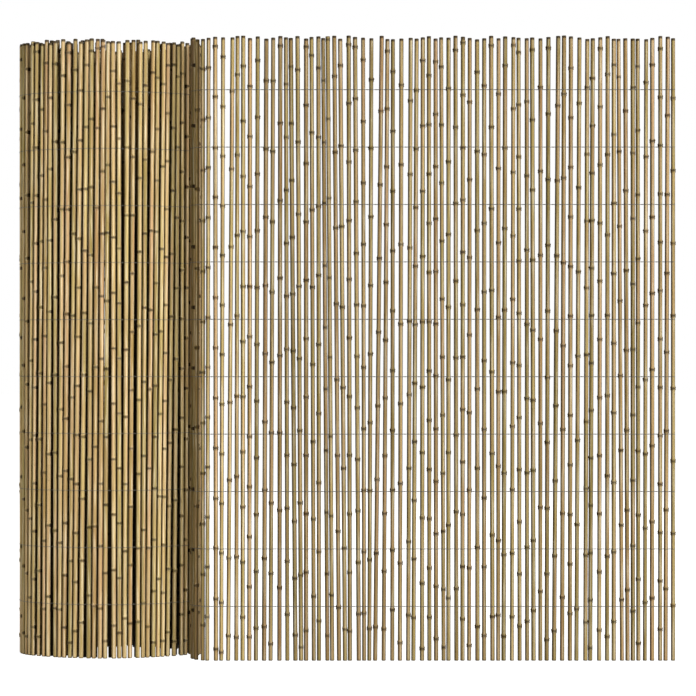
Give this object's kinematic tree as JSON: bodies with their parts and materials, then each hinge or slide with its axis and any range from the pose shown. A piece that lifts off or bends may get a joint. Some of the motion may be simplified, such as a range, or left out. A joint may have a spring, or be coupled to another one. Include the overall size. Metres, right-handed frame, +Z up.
{
  "type": "bamboo cane screening roll",
  "caption": "Roll of bamboo cane screening standing on end, partly unrolled, with twisted wires holding the upright canes.",
  "frame": {"origin": "on the floor, in the middle of the outline seen from above", "axes": "+X along the straight stretch towards its free end, +Z up along the canes, the roll behind the stretch on +Y"},
  "size_m": [1.5994, 0.2942, 1.4998],
  "materials": {
    "cane": "dry split-free bamboo, satin",
    "wire": "dull galvanised"
  },
  "bodies": {
    "root": {"canes_1": "cane", "canes_2": "cane", "canes_3": "cane", "canes_4": "cane", "canes_5": "cane", "canes_6": "cane", "canes_7": "cane", "canes_8": "cane", "wire_1": "wire", "wire_2": "wire", "wire_3": "wire", "wire_4": "wire", "wire_5": "wire", "wire_6": "wire", "wire_7": "wire", "wire_8": "wire", "wire_9": "wire", "wire_10": "wire"}
  },
  "joints": []
}
